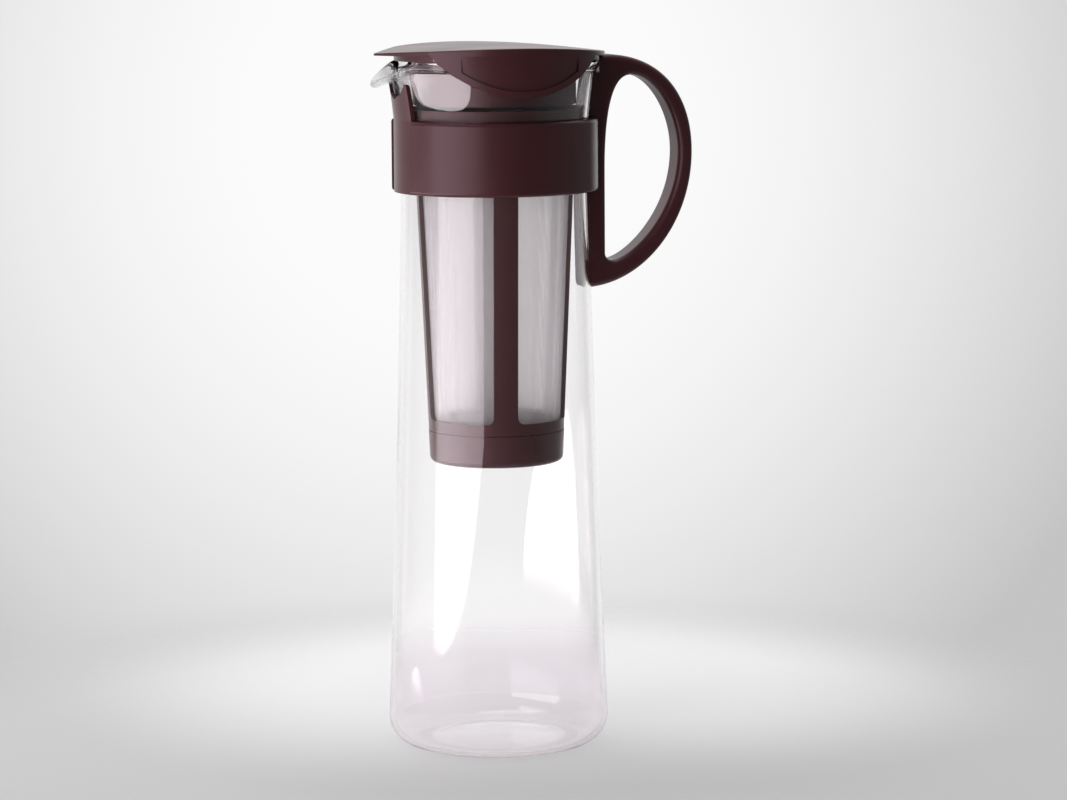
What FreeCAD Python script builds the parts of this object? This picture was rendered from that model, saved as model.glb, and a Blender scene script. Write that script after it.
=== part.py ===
import FreeCAD, Part
import math
import os

# Cold brew coffee maker, in millimetres: a glass bottle with a pulled spout, a neck band and a handle
# that close round its neck, a lid, and a strainer that hangs in the neck and ends in a twist-off cap.
# Origin: centre of the base. +Z up, the spout points along -X, the handle along +X.

# ---- glass bottle ----------------------------------------------------------------------------------
GLASS_WALL = 2.2
BODY_R = 46.8          # widest outer radius, just above the heel
RIM_Z = 290.6          # top of the rim bead
HEEL_ROUND = 12.0      # outer radius of the bottom corner
FOOT_WIDTH = 5.8       # the foot is a flat ring inside the heel
PUNT_R = BODY_R - HEEL_ROUND - FOOT_WIDTH
PUNT_RISE = 1.4        # the base is pushed up by this much inside the foot
NECK_DEPTH = 7.35      # the neck is slimmer than the body by this much all round
NECK_R = BODY_R - NECK_DEPTH
NECK_DROP = 44.6       # the narrowest place lies this far below the rim
NECK_Z = RIM_Z - NECK_DROP
NECK_TAPER_DEG = 1.1   # slope of the wall where the body runs into the neck
MOUTH_INSET = 2.5      # from the body's radius in to the rim bead's
MOUTH_R = BODY_R - MOUTH_INSET
BEAD_R = 1.9           # the fire-polished rim is thicker than the wall
MOUTH_START_DEG = 4.0  # the mouth's own sections start this far up the flare

# ---- spout: its centre line, as (reach beyond the rim bead's centre, drop below it) -----------------
SPOUT_HALF_DEG = 27.0
SPOUT_LINE = [
    (-3.05, 21.5), (-2.3, 14.6), (-1.5, 9.4), (0.7, 6.8), (3.6, 5.8), (6.7, 5.9), (9.3, 7.3),
]
SPOUT_NARROWING = 2.0  # how much faster the spout narrows at its root than at the rim
SPOUT_BEAD_R = 1.6     # the rim thins towards the middle of the spout
SPOUT_SECTION_COUNT = 9

# ---- neck band -------------------------------------------------------------------------------------
BAND_PROUD = 4.05      # from the narrowest place of the glass out to the band's face
BAND_R = NECK_R + BAND_PROUD
BAND_BELOW_NECK = 10.0
BAND_ABOVE_NECK = 20.4
BAND_BOTTOM_Z = NECK_Z - BAND_BELOW_NECK
BAND_TOP_Z = NECK_Z + BAND_ABOVE_NECK
BAND_CORNER = 1.4
BAND_GAP = 0.2         # between band and glass
PANEL_HALF_DEG = 20.5  # the front panel under the spout is set in, to run on into the tab's face
PANEL_STEP = 0.03      # at the band's top it stands this much outside the tab
TAB_WALL = 1.7         # the panel rises in a tab with two peaks, against the flare
TAB_ROOT_HALF = 14.3
TAB_PEAK_Y = 12.8
TAB_SHOULDER = 1.0     # from each peak out to the corner beside it, and as far down again
TAB_FLANK_Y = 8.4      # inside the peaks the edge drops to here, and then slopes to the notch
TAB_RISE = 15.6        # the peaks above the band's top
TAB_FLANK_RISE = 11.2
TAB_NOTCH_RISE = 8.6   # the notch between them above the band's top
TAB_ROUND = 0.8
TAB_STEP = 0.1         # the tab's shell stands this much proud of the band's bore
BAND_SPLIT = 3.0       # slot between the band's two ends, behind the handle
TONGUE_DEPTH = 2.0     # the two ends form a dovetail tongue
TONGUE_ROOT_HALF = 4.0
TONGUE_TIP_HALF = 5.1
TONGUE_MARGIN = 3.0    # from the tongue to the band's top and bottom

# ---- handle ----------------------------------------------------------------------------------------
HANDLE_WIDTH = 15.0
HANDLE_EDGE_ROUND = 2.6
SPINE_PROUD = 0.1      # the spine's outer face stands this far beyond the bottle's body
SPINE_X = BODY_R + SPINE_PROUD
HANDLE_DEPTH = 38.9    # from the spine's face out to the outermost point of the grip
HANDLE_REACH = SPINE_X + HANDLE_DEPTH
HANDLE_TOP_RISE = 1.8  # above the glass rim
HANDLE_TOP_Z = RIM_Z + HANDLE_TOP_RISE
HANDLE_HEIGHT = 98.4
HANDLE_FOOT_Z = HANDLE_TOP_Z - HANDLE_HEIGHT
WIDEST_DROP = 41.4     # the outermost point lies this far below the handle's top
HANDLE_WIDEST_Z = HANDLE_TOP_Z - WIDEST_DROP
FOOT_INSET = 9.4       # the underside runs level from this far inside the spine's face
HANDLE_FOOT_X = SPINE_X - FOOT_INSET
GRIP_THICKNESS = 6.3   # strap thickness at the widest place
STRAP_TOP = 8.8        # strap thickness over the hole
STRAP_FOOT = 11.4      # thickness under the hole
HOLE_TOP_Z = HANDLE_TOP_Z - STRAP_TOP
HOLE_FOOT_Z = HANDLE_FOOT_Z + STRAP_FOOT
HOLE_TOP_SHARE = 0.298   # place of the hole's highest point along the handle's depth
HOLE_TOP_X = SPINE_X + HOLE_TOP_SHARE * HANDLE_DEPTH
HOLE_CORNER = 3.0
SPINE_LEAN_DROP = 8.0  # the spine leans out from this far below the widest place
SPINE_BEND_Z = HANDLE_WIDEST_Z - SPINE_LEAN_DROP
# how far each end of a bend runs on before it turns, as shares of its width and height
OUTER_UPPER_BEND = (0.62, 0.61)
OUTER_LOWER_BEND = (0.55, 0.54)
HOLE_UPPER_BEND = (0.51, 0.50)
HOLE_LOWER_BEND = (0.60, 0.26)
SPINE_BEND = (0.67, 0.66)
HANDLE_GAP = 0.3       # between handle and glass
SOCKET_GAP = 0.12      # between the band's tongue and the handle's socket

# ---- lid -------------------------------------------------------------------------------------------
GRIP_WALL = 1.8
LID_SIDE_GAP = 0.4       # between the glass rim and the lid's side grips
LID_R = MOUTH_R + LID_SIDE_GAP + GRIP_WALL
LID_RISE = 6.4           # crown of the lid above the glass rim
LID_CROWN_Z = RIM_Z + LID_RISE
LID_CROWN_X = -3.5       # the plate is arched along X and highest here
LID_ARCH_R = 420.0
LID_WALL = 1.8
LID_EDGE_ROUND = 0.5
VISOR_REACH = 5.3        # the visor's tip beyond the round plate
VISOR_TIP_X = -LID_R - VISOR_REACH
VISOR_TIP_ROUND = 3.0
VISOR_SPREAD_DEG = 39.0  # the visor's sides leave the round plate this far from the spout
VISOR_TIP_WALL = 0.9     # the visor thins from the ledge ring to its tip
LID_REST_GAP = 0.3       # between the lid and the glass rim
LEDGE_INSET = 2.3        # from the outside of the glass rim in to the ledge ring's
LEDGE_R = MOUTH_R - LEDGE_INSET
LEDGE_WALL = 1.6
PLUG_INSET = 9.9         # from the outside of the glass rim in to the plug's
PLUG_R = MOUTH_R - PLUG_INSET
PLUG_WALL = 1.8
PLUG_DROP = 18.0         # the plug's foot below the glass rim
PLUG_FOOT_Z = RIM_Z - PLUG_DROP
GRIP_DROP = 13.9         # lowest point of the side grips below the glass rim
GRIP_FOOT_Z = RIM_Z - GRIP_DROP
GRIP_ARC_R = 46.0        # their lower edge is an arc, seen from the side
RECESS_DEPTH = 1.1       # finger recess in each grip, deepest at its lower end
RECESS_HEIGHT = 17.2
RECESS_TOP_Z = GRIP_FOOT_Z + RECESS_HEIGHT
RECESS_BORDER = 2.6
RECESS_HALF = 25.0

# ---- strainer --------------------------------------------------------------------------------------
BASKET_TURN_DEG = -8.0
BASKET_WALL = 2.2
FLANGE_DROP = 24.6       # the flange's floor below the glass rim
FLANGE_Z = RIM_Z - FLANGE_DROP
FLANGE_HEIGHT = 5.0
FLANGE_WALL = 1.7
SEAT_GAP = 0.3           # between the flange and the glass
COLLAR_HEIGHT = 16.0     # plain wall between the flange and the windows
WINDOW_TOP_Z = FLANGE_Z - COLLAR_HEIGHT
WINDOW_HEIGHT = 110.0
WINDOW_FOOT_Z = WINDOW_TOP_Z - WINDOW_HEIGHT
WINDOW_ROUND = 3.0
RIB_COUNT = 4
RIB_WIDTH = 10.0
BASKET_INSET = 10.55     # from the neck's radius in to the basket's at the foot of the windows
BASKET_R = NECK_R - BASKET_INSET
BASKET_SLOPE = 0.0432    # growth of the radius per millimetre of height
SLOT_COUNT = 8           # pouring slots through the flange's floor
SLOT_SPAN_DEG = 24.0
SLOT_WIDTH = 1.3
FOOT_RING_HEIGHT = 4.8   # plain wall below the windows
RING_FOOT_Z = WINDOW_FOOT_Z - FOOT_RING_HEIGHT
MESH_THICKNESS = 0.4
MESH_BORDER = 1.2        # how far the mesh runs in behind the frame
MESH_GAP = 0.05

# ---- strainer cap, held by a bayonet ---------------------------------------------------------------
CAP_GAP = 0.3            # joint line between cap and frame
CAP_HEIGHT = 13.4
CAP_FOOT_Z = RING_FOOT_Z - CAP_GAP - CAP_HEIGHT
CAP_INSET = 0.1          # the cap is this much slimmer than the basket
CAP_R = BASKET_R - CAP_INSET
CAP_DRAFT = 0.5          # and this much slimmer again at its foot
CAP_ROUND = 2.5
CAP_FLOOR = 2.0
CAP_WALL = 2.4
CAP_RIM = 7.8            # the underside is set in inside a rim of this width
CAP_RECESS_R = CAP_R - CAP_RIM
CAP_RECESS = 0.8
SPIGOT_WALL = 1.8
SPIGOT_LENGTH = 9.0
SPIGOT_GAP = 0.1
LUG_COUNT = 3
LUG_SPAN_DEG = 18.0
LUG_HEIGHT = 2.0
LUG_DEPTH = 0.9
LUG_FOOT = 1.6           # the lugs sit this far above the spigot's end
LUG_GAP = 0.15
LUG_GAP_DEG = 1.0
TWIST_DEG = 30.0
MARK_AT_DEG = -71.0      # index bead that lines the bayonet up
MARK_WIDTH = 0.9
MARK_PROUD = 0.35
MARK_LENGTH = 7.0
MARK_DROP = 1.2

Z_AXIS = FreeCAD.Vector(0, 0, 1)
ORIGIN = FreeCAD.Vector(0, 0, 0)
FUSE_TOLERANCE = 0.001
SAME = 0.01              # places closer than this are taken as the same one
PAST = 1.0               # cutters run this far past what they cut
FAR = 200.0              # longer than any piece that is cut right through
WALL_POINT_COUNT = 6     # points through which each long curve of the wall is drawn


# ---- small helpers ---------------------------------------------------------------------------------
def at(r, z, angle_deg=0.0):
    """Point at radius r and height z, in the half plane at this angle about Z."""
    a = math.radians(angle_deg)
    return FreeCAD.Vector(r * math.cos(a), r * math.sin(a), z)


def line(a, b):
    return Part.makeLine(a, b)


def arc(a, b, c):
    return Part.Arc(a, b, c).toShape()


def curve(points):
    """Smooth curve through the points."""
    spline = Part.BSplineCurve()
    spline.interpolate(points)
    return spline.toShape()


def spread(first, last, count):
    """Evenly spaced values from first to last."""
    return [first + (last - first) * i / (count - 1) for i in range(count)]


def revolved(edges, start_deg=0.0, span_deg=360.0):
    """Solid swept about Z by a closed outline that is drawn in the XZ half plane."""
    face = Part.Face(Part.Wire(edges))
    face.rotate(ORIGIN, Z_AXIS, start_deg)
    return face.revolve(ORIGIN, Z_AXIS, span_deg)


def outline_edges(points):
    """Closed outline of straight edges through (r, z) pairs."""
    corners = [at(r, z) for r, z in points]
    return [line(corners[i - 1], corners[i]) for i in range(len(corners))]


def ring(r_in, r_out, z_low, z_high, start_deg=0.0, span_deg=360.0):
    points = [(r_in, z_low), (r_out, z_low), (r_out, z_high), (r_in, z_high)]
    return revolved(outline_edges(points), start_deg, span_deg)


def cone_ring(z_low, z_high, radius_at, wall_in, wall_out):
    """Part of a tapered tube, between two offsets from the radius that radius_at(z) gives."""
    points = [
        (radius_at(z_low) + wall_in, z_low),
        (radius_at(z_low) + wall_out, z_low),
        (radius_at(z_high) + wall_out, z_high),
        (radius_at(z_high) + wall_in, z_high),
    ]
    return revolved(outline_edges(points))


def slab(width, length, z_low, z_high):
    """Upright slab through the axis, lying along X."""
    return Part.makeBox(length, width, z_high - z_low, FreeCAD.Vector(-length / 2, -width / 2, z_low))


def turned(shape, angle_deg):
    copy = shape.copy()
    copy.rotate(ORIGIN, Z_AXIS, angle_deg)
    return copy


def one_solid(shape):
    """The single solid that a fused or cut shape holds."""
    tidy = shape.removeSplitter()
    if len(tidy.Solids) != 1:
        raise ValueError("expected one solid, found %d" % len(tidy.Solids))
    return tidy.Solids[0]


# ---- glass bottle ----------------------------------------------------------------------------------
# The outer line of the wall is three arcs that meet smoothly: heel, body and flare. An offset moves a
# point square to the wall, outwards where it is positive.
BEAD_CENTRE = (MOUTH_R - BEAD_R, RIM_Z - BEAD_R)
MID_RUN = BEAD_CENTRE[0] - (NECK_R - GLASS_WALL / 2)
MID_RISE = BEAD_CENTRE[1] - NECK_Z
FLARE_R = (MID_RUN ** 2 + MID_RISE ** 2) / (2 * MID_RUN) - GLASS_WALL / 2
HEEL_CENTRE = (BODY_R - HEEL_ROUND, HEEL_ROUND)


def flare_point(angle, offset=0.0):
    """Point on the flare; the angle is positive above the narrowest place."""
    reach = FLARE_R - offset
    return (NECK_R + FLARE_R - reach * math.cos(angle), NECK_Z + reach * math.sin(angle))


def flare_radius(z, offset=0.0):
    reach = FLARE_R - offset
    return NECK_R + FLARE_R - math.sqrt(reach ** 2 - (z - NECK_Z) ** 2)


BODY_TOP_ANGLE = math.radians(NECK_TAPER_DEG)
BODY_TOP = flare_point(-BODY_TOP_ANGLE)
BODY_RUN = BODY_TOP[0] - HEEL_CENTRE[0]
BODY_RISE = BODY_TOP[1] - HEEL_CENTRE[1]
BODY_REACH = BODY_RUN * math.cos(BODY_TOP_ANGLE) + BODY_RISE * math.sin(BODY_TOP_ANGLE)
BODY_ARC_R = (BODY_RUN ** 2 + BODY_RISE ** 2 - HEEL_ROUND ** 2) / (2 * (HEEL_ROUND - BODY_REACH))
BODY_CENTRE = (
    BODY_TOP[0] + BODY_ARC_R * math.cos(BODY_TOP_ANGLE),
    BODY_TOP[1] + BODY_ARC_R * math.sin(BODY_TOP_ANGLE),
)
BODY_FOOT_ANGLE = math.atan(
    (BODY_CENTRE[1] - HEEL_CENTRE[1]) / (BODY_CENTRE[0] - HEEL_CENTRE[0])
)


def body_point(angle, offset=0.0):
    reach = BODY_ARC_R - offset
    return (BODY_CENTRE[0] - reach * math.cos(angle), BODY_CENTRE[1] - reach * math.sin(angle))


def heel_point(angle, offset=0.0):
    reach = HEEL_ROUND + offset
    return (HEEL_CENTRE[0] + reach * math.cos(angle), HEEL_CENTRE[1] + reach * math.sin(angle))


def wall_edges(offset, top_angle):
    """Heel, body and flare as edges, from the base up to this angle on the flare."""
    heel_middle = (BODY_FOOT_ANGLE - math.pi / 2) / 2
    heel = arc(
        at(*heel_point(-math.pi / 2, offset)),
        at(*heel_point(heel_middle, offset)),
        at(*heel_point(BODY_FOOT_ANGLE, offset)),
    )
    body_angles = spread(BODY_FOOT_ANGLE, BODY_TOP_ANGLE, WALL_POINT_COUNT)
    flare_angles = spread(-BODY_TOP_ANGLE, top_angle, WALL_POINT_COUNT)
    body = curve([at(*body_point(a, offset)) for a in body_angles])
    flare = curve([at(*flare_point(a, offset)) for a in flare_angles])
    return [heel, body, flare]


def base_edges(offset):
    """Underside or floor: a flat ring, then a shallow dome that rises to the axis."""
    level = -offset
    dome_r = (PUNT_R ** 2 + PUNT_RISE ** 2) / (2 * PUNT_RISE)
    half = math.asin(PUNT_R / dome_r) / 2
    dome_middle = (dome_r * math.sin(half), level + PUNT_RISE - dome_r * (1 - math.cos(half)))
    return [
        line(at(*heel_point(-math.pi / 2, offset)), at(PUNT_R, level)),
        arc(at(PUNT_R, level), at(*dome_middle), at(0, level + PUNT_RISE)),
    ]


def mouth_middle_line(spout_share):
    """Middle of the mouth's wall as (r, z) pairs, from the flare to the bead's centre.

    A share of 0 is the plain round mouth, and 1 is the line through the middle of the spout.
    """
    start = math.radians(MOUTH_START_DEG)
    end = math.asin(MID_RISE / (FLARE_R + GLASS_WALL / 2))
    spout = [flare_point(start, -GLASS_WALL / 2)]
    spout += [(BEAD_CENTRE[0] + reach, BEAD_CENTRE[1] - drop) for reach, drop in SPOUT_LINE]
    steps = [math.dist(a, b) for a, b in zip(spout, spout[1:])]
    line_points = []
    for i, pulled in enumerate(spout):
        run = sum(steps[:i]) / sum(steps)
        plain = flare_point(start + (end - start) * run, -GLASS_WALL / 2)
        share = spout_share ** (1 + SPOUT_NARROWING * (1 - run))
        line_points.append(tuple((1 - share) * p + share * q for p, q in zip(plain, pulled)))
    return line_points


def mouth_frames(spout_share):
    """The middle line's points, each with the direction along the wall and the one out of it."""
    points = mouth_middle_line(spout_share)
    frames = []
    for i, (r, z) in enumerate(points):
        before = points[max(i - 1, 0)]
        after = points[min(i + 1, len(points) - 1)]
        run, rise = after[0] - before[0], after[1] - before[1]
        if i == 0:
            # the wall below is the plain flare
            start = math.radians(MOUTH_START_DEG)
            run, rise = math.sin(start), math.cos(start)
        size = math.hypot(run, rise)
        frames.append(((r, z), (run / size, rise / size), (rise / size, -run / size)))
    return frames


def spout_share_at(angle_from_spout):
    if abs(angle_from_spout) >= SPOUT_HALF_DEG:
        return 0.0
    return math.cos(math.pi / 2 * angle_from_spout / SPOUT_HALF_DEG) ** 2


def mouth_section(angle_from_spout):
    """Closed outline of the mouth's wall in the half plane at this angle from the spout."""
    turn = 180.0 + angle_from_spout
    share = spout_share_at(angle_from_spout)
    frames = mouth_frames(share)
    half = GLASS_WALL / 2
    bead = BEAD_R + (SPOUT_BEAD_R - BEAD_R) * share
    back_off = math.sqrt(bead ** 2 - half ** 2)
    outer, inner = [], []
    for i, ((r, z), along, out) in enumerate(frames):
        last = i == len(frames) - 1
        r_wall = r - back_off * along[0] if last else r
        z_wall = z - back_off * along[1] if last else z
        outer.append(at(r_wall + half * out[0], z_wall + half * out[1], turn))
        inner.append(at(r_wall - half * out[0], z_wall - half * out[1], turn))
    (r, z), along, out = frames[-1]
    bead_top = at(r + bead * along[0], z + bead * along[1], turn)
    return Part.Wire([
        curve(outer),
        arc(outer[-1], bead_top, inner[-1]),
        curve(inner[::-1]),
        line(inner[0], outer[0]),
    ])


def make_bottle():
    start = math.radians(MOUTH_START_DEG)
    edges = base_edges(0.0) + wall_edges(0.0, start)
    edges += [line(at(*flare_point(start)), at(*flare_point(start, -GLASS_WALL)))]
    edges += wall_edges(-GLASS_WALL, start) + base_edges(-GLASS_WALL)
    edges += [line(at(0, PUNT_RISE), at(0, PUNT_RISE + GLASS_WALL))]
    body = revolved([e for group in Part.sortEdges(edges) for e in group])

    plain = Part.Face(mouth_section(SPOUT_HALF_DEG))
    mouth = plain.revolve(ORIGIN, Z_AXIS, 360.0 - 2 * SPOUT_HALF_DEG)
    angles = spread(-SPOUT_HALF_DEG, SPOUT_HALF_DEG, SPOUT_SECTION_COUNT)
    sections = [mouth_section(a) for a in angles]
    spout = Part.makeLoft(sections, True, False)
    return one_solid(body.multiFuse([mouth, spout], FUSE_TOLERANCE))


def glass_envelope(gap, z_low, z_high):
    """Solid that the bottle fills between two heights below the spout, grown by a gap."""
    top = math.asin((z_high - NECK_Z) / (FLARE_R - gap))
    edges = wall_edges(gap, top)
    r_top, z_top = flare_point(top, gap)
    edges += [line(at(r_top, z_top), at(0, z_top))]
    edges += [line(at(0, z_top), at(0, -gap))]
    edges += [line(at(0, -gap), at(*heel_point(-math.pi / 2, gap)))]
    solid = revolved([e for group in Part.sortEdges(edges) for e in group])
    return solid.common(Part.makeCylinder(FAR, z_high - z_low, FreeCAD.Vector(0, 0, z_low)))


# ---- neck band -------------------------------------------------------------------------------------
def band_ring():
    c = BAND_CORNER
    lift = c * (1 - math.sqrt(0.5))
    z0, z1, r1 = BAND_BOTTOM_Z, BAND_TOP_Z, BAND_R
    r0 = NECK_R - GLASS_WALL
    edges = [
        line(at(r0, z0), at(r1 - c, z0)),
        arc(at(r1 - c, z0), at(r1 - lift, z0 + lift), at(r1, z0 + c)),
        line(at(r1, z0 + c), at(r1, z1 - c)),
        arc(at(r1, z1 - c), at(r1 - lift, z1 - lift), at(r1 - c, z1)),
        line(at(r1 - c, z1), at(r0, z1)),
        line(at(r0, z1), at(r0, z0)),
    ]
    return revolved(edges)


def inside_spout(gap):
    """Solid that fills the mouth round the spout, out to this gap beyond the glass."""
    off = GLASS_WALL / 2 + gap
    sections = []
    for angle in spread(-SPOUT_HALF_DEG, SPOUT_HALF_DEG, SPOUT_SECTION_COUNT):
        turn = 180.0 + angle
        frames = mouth_frames(spout_share_at(angle))
        face = [at(r + off * o[0], z + off * o[1], turn) for (r, z), _, o in frames]
        top = at(NECK_R / 2, face[-1].z, turn)
        foot = at(NECK_R / 2, face[0].z, turn)
        sections.append(Part.Wire([
            curve(face), line(face[-1], top), line(top, foot), line(foot, face[0]),
        ]))
    return Part.makeLoft(sections, True, False)


def tab_outline(root_z):
    """Prism along X with the tab's two-peaked outline, from its root up."""
    peak_z = BAND_TOP_Z + TAB_RISE
    half = [
        (TAB_ROOT_HALF, root_z), (TAB_ROOT_HALF, BAND_TOP_Z),
        (TAB_PEAK_Y + TAB_SHOULDER, peak_z - TAB_SHOULDER), (TAB_PEAK_Y, peak_z),
        (TAB_FLANK_Y, BAND_TOP_Z + TAB_FLANK_RISE),
    ]
    right = [FreeCAD.Vector(-FAR / 2, y, z) for y, z in half]
    left = [FreeCAD.Vector(-FAR / 2, -y, z) for y, z in reversed(half)]
    notch = FreeCAD.Vector(-FAR / 2, 0, BAND_TOP_Z + TAB_NOTCH_RISE)
    corners = right + [notch] + left
    prism = Part.Face(Part.makePolygon(corners + corners[:1])).extrude(FreeCAD.Vector(FAR / 2, 0, 0))
    peaks = [
        e for e in prism.Edges
        if e.Length > FAR / 4 and e.Vertexes[0].Z > peak_z - TAB_SHOULDER - SAME
    ]
    return prism.makeFillet(TAB_ROUND, peaks)


def make_tab():
    """Shell that follows the flare outside and leaves the spout's glass its gap inside."""
    root_z = flare_point(math.radians(MOUTH_START_DEG))[1] + PAST
    top_z = BAND_TOP_Z + TAB_RISE + PAST
    shell = glass_envelope(BAND_GAP + TAB_WALL, root_z, top_z).common(tab_outline(root_z))
    shell = shell.cut(Part.makeCylinder(NECK_R - GLASS_WALL, top_z))
    return shell.cut(inside_spout(BAND_GAP))


def tongue(grow):
    """Dovetail that the band's ends form together, grown by a gap."""
    root_x = BAND_R - BAND_CORNER
    tip_x = BAND_R + TONGUE_DEPTH + grow
    z0 = BAND_BOTTOM_Z + TONGUE_MARGIN - grow
    z1 = BAND_TOP_Z - TONGUE_MARGIN + grow
    root, tip = TONGUE_ROOT_HALF + grow, TONGUE_TIP_HALF + grow
    corners = [(root_x, -root), (tip_x, -tip), (tip_x, tip), (root_x, root)]
    points = [FreeCAD.Vector(x, y, z0) for x, y in corners]
    return Part.Face(Part.makePolygon(points + points[:1])).extrude(FreeCAD.Vector(0, 0, z1 - z0))


def make_band():
    tall = BAND_TOP_Z - BAND_BOTTOM_Z
    start = 180.0 - PANEL_HALF_DEG
    panel_r = flare_radius(BAND_TOP_Z, BAND_GAP + TAB_WALL) + PANEL_STEP
    inset = ring(panel_r, BAND_R + PAST, BAND_BOTTOM_Z - PAST, BAND_TOP_Z + PAST,
                 start, 2 * PANEL_HALF_DEG)
    band = band_ring().cut(inset).fuse(tongue(0.0))
    band = band.cut(glass_envelope(BAND_GAP, BAND_BOTTOM_Z - PAST, BAND_TOP_Z + PAST))
    band = band.cut(inside_spout(BAND_GAP + TAB_STEP)).fuse(make_tab())
    corner = FreeCAD.Vector(0, -BAND_SPLIT / 2, BAND_BOTTOM_Z - tall / 2)
    return one_solid(band.cut(Part.makeBox(FAR, BAND_SPLIT, 2 * tall, corner)))


# ---- handle ----------------------------------------------------------------------------------------
def side_point(x, z):
    return FreeCAD.Vector(x, 0, z)


def rounded(start, end, fullness, upright_first):
    """Quarter bend in the XZ plane that leaves start upright, or level, and meets end the other way."""
    run, rise = end.x - start.x, end.z - start.z
    out_of, into = fullness
    if upright_first:
        poles = [start, side_point(start.x, start.z + rise * out_of),
                 side_point(end.x - run * into, end.z), end]
    else:
        poles = [start, side_point(start.x + run * out_of, start.z),
                 side_point(end.x, end.z - rise * into), end]
    bend = Part.BezierCurve()
    bend.setPoles(poles)
    return bend.toShape()


def handle_outline():
    top = side_point(SPINE_X, HANDLE_TOP_Z)
    widest = side_point(HANDLE_REACH, HANDLE_WIDEST_Z)
    foot = side_point(HANDLE_FOOT_X, HANDLE_FOOT_Z)
    top_left = side_point(NECK_R / 2, HANDLE_TOP_Z)
    foot_left = side_point(NECK_R / 2, HANDLE_FOOT_Z)
    return Part.Wire([
        line(top_left, top),
        rounded(top, widest, OUTER_UPPER_BEND, False),
        rounded(widest, foot, OUTER_LOWER_BEND, True),
        line(foot, foot_left),
        line(foot_left, top_left),
    ])


def hole_outline():
    top = side_point(HOLE_TOP_X, HOLE_TOP_Z)
    widest = side_point(HANDLE_REACH - GRIP_THICKNESS, HANDLE_WIDEST_Z)
    foot = side_point(SPINE_X + HOLE_CORNER, HOLE_FOOT_Z)
    low = side_point(SPINE_X, HOLE_FOOT_Z + HOLE_CORNER)
    bend = side_point(SPINE_X, SPINE_BEND_Z)
    cut = HOLE_CORNER * (1 - math.sqrt(0.5))
    return Part.Wire([
        rounded(top, widest, HOLE_UPPER_BEND, False),
        rounded(widest, foot, HOLE_LOWER_BEND, True),
        arc(foot, side_point(SPINE_X + cut, HOLE_FOOT_Z + cut), low),
        line(low, bend),
        rounded(bend, top, SPINE_BEND, True),
    ])


def make_handle():
    across = FreeCAD.Vector(0, HANDLE_WIDTH, 0)
    shift = FreeCAD.Vector(0, -HANDLE_WIDTH / 2, 0)
    outer = Part.Face(handle_outline()).extrude(across)
    hole = Part.Face(hole_outline()).extrude(across)
    outer.translate(shift)
    hole.translate(shift)
    strap = outer.cut(hole)
    # one edge of each of the four long outlines; the round runs on along the edges that follow it
    long_edges = [
        e for e in strap.Edges
        if e.BoundBox.YLength < SAME and abs(e.BoundBox.ZMin - HANDLE_WIDEST_Z) < SAME
    ]
    strap = strap.makeFillet(HANDLE_EDGE_ROUND, long_edges)
    handle = strap.cut(glass_envelope(HANDLE_GAP, HANDLE_FOOT_Z - PAST, RIM_Z - BEAD_R))
    top_r = MOUTH_R + HANDLE_GAP
    handle = handle.cut(Part.makeCylinder(top_r, FAR, FreeCAD.Vector(0, 0, RIM_Z - 3 * BEAD_R)))
    band_room = Part.makeCylinder(
        BAND_R + SOCKET_GAP, BAND_TOP_Z - BAND_BOTTOM_Z + 2 * SOCKET_GAP,
        FreeCAD.Vector(0, 0, BAND_BOTTOM_Z - SOCKET_GAP),
    )
    handle = handle.cut(band_room).cut(tongue(SOCKET_GAP))
    under_lid = FreeCAD.Vector(0, 0, lid_under_z(LID_R) - HANDLE_GAP)
    return one_solid(handle.cut(Part.makeCylinder(LID_R + HANDLE_GAP, FAR, under_lid)))


# ---- lid -------------------------------------------------------------------------------------------
def lid_top_z(x):
    return LID_CROWN_Z - LID_ARCH_R + math.sqrt(LID_ARCH_R ** 2 - (x - LID_CROWN_X) ** 2)


def lid_under_z(x):
    return lid_top_z(x) - LID_WALL


def arch_block(drop, depth):
    """Everything below the lid's arched top, lowered by drop, over this depth along Y."""
    half = 2 * LID_R
    z_low = PLUG_FOOT_Z - PAST
    left, crown, right = [side_point(x, lid_top_z(x) - drop) for x in (-half, LID_CROWN_X, half)]
    low_left, low_right = side_point(-half, z_low), side_point(half, z_low)
    outline = Part.Wire([
        arc(left, crown, right), line(right, low_right), line(low_right, low_left), line(low_left, left),
    ])
    block = Part.Face(outline).extrude(FreeCAD.Vector(0, depth, 0))
    block.translate(FreeCAD.Vector(0, -depth / 2, 0))
    return block


def plate_outline():
    """Round plate drawn out into a visor over the spout, as a tall prism."""
    side = at(LID_R, 0, 180.0 - VISOR_SPREAD_DEG)
    tip_centre_x = VISOR_TIP_X + VISOR_TIP_ROUND
    lean = math.atan2(side.y - VISOR_TIP_ROUND, side.x - tip_centre_x)
    touch = FreeCAD.Vector(
        tip_centre_x - VISOR_TIP_ROUND * math.sin(lean), VISOR_TIP_ROUND * math.cos(lean), 0)
    far_side = FreeCAD.Vector(side.x, -side.y, 0)
    far_touch = FreeCAD.Vector(touch.x, -touch.y, 0)
    edges = [
        arc(side, FreeCAD.Vector(LID_R, 0, 0), far_side),
        line(far_side, far_touch),
        arc(far_touch, FreeCAD.Vector(VISOR_TIP_X, 0, 0), touch),
        line(touch, side),
    ]
    return Part.Face(Part.Wire(edges)).extrude(FreeCAD.Vector(0, 0, FAR * 2))


def smile(arc_r, wide):
    """Everything above the side grips' lower edge."""
    centre = FreeCAD.Vector(0, -wide / 2, GRIP_FOOT_Z + GRIP_ARC_R)
    return Part.makeCylinder(arc_r, wide, centre, FreeCAD.Vector(0, 1, 0))


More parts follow.
